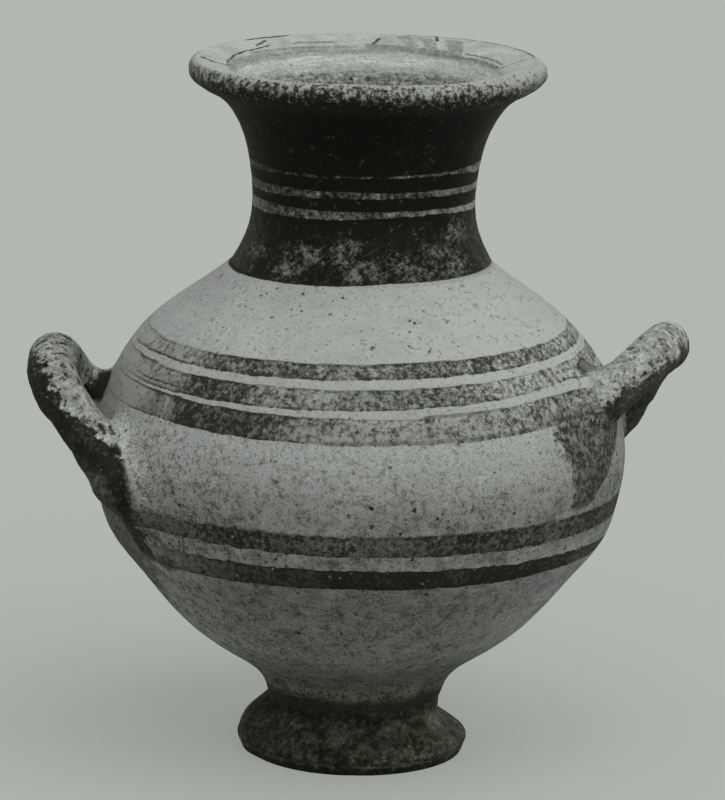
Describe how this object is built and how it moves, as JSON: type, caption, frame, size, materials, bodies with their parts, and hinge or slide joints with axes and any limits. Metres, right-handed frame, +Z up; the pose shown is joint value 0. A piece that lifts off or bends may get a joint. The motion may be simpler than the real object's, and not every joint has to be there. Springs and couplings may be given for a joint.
{
  "type": "hydria jar",
  "caption": "Wheel-thrown clay water jar on a flared hollow foot, with a round belly, flaring neck, heavy lip, looped side handles, a strap handle behind and dark painted bands.",
  "frame": {"origin": "centre of the foot's resting plane, on the pot's turning axis", "axes": "+Z up along the turning axis, +X towards the right carrying handle as pictured, +Y towards the pouring handle at the back; the camera is on the -Y side"},
  "size_m": [0.411, 0.3336, 0.4398],
  "materials": {
    "dark_slip_foot": "matt, worn dark slip",
    "banded_body": "matt, pitted clay with dark painted bands",
    "dark_slip_neck": "matt dark slip with lines left bare",
    "bare_lip": "matt, bare clay with worn dark slip",
    "worn_handle": "matt, dark slip rubbed through to the clay",
    "root_clay": "matt, smeared clay under dark slip"
  },
  "bodies": {
    "root": {"foot": "dark_slip_foot", "lower_body": "banded_body", "upper_body": "banded_body", "neck": "dark_slip_neck", "lip": "bare_lip", "left_handle": "worn_handle", "right_handle": "worn_handle", "back_handle": "worn_handle", "left_near_root_clay": "root_clay", "left_far_root_clay": "root_clay", "right_near_root_clay": "root_clay", "right_far_root_clay": "root_clay", "back_neck_root_clay": "root_clay", "back_shoulder_root_clay": "root_clay"}
  },
  "joints": []
}
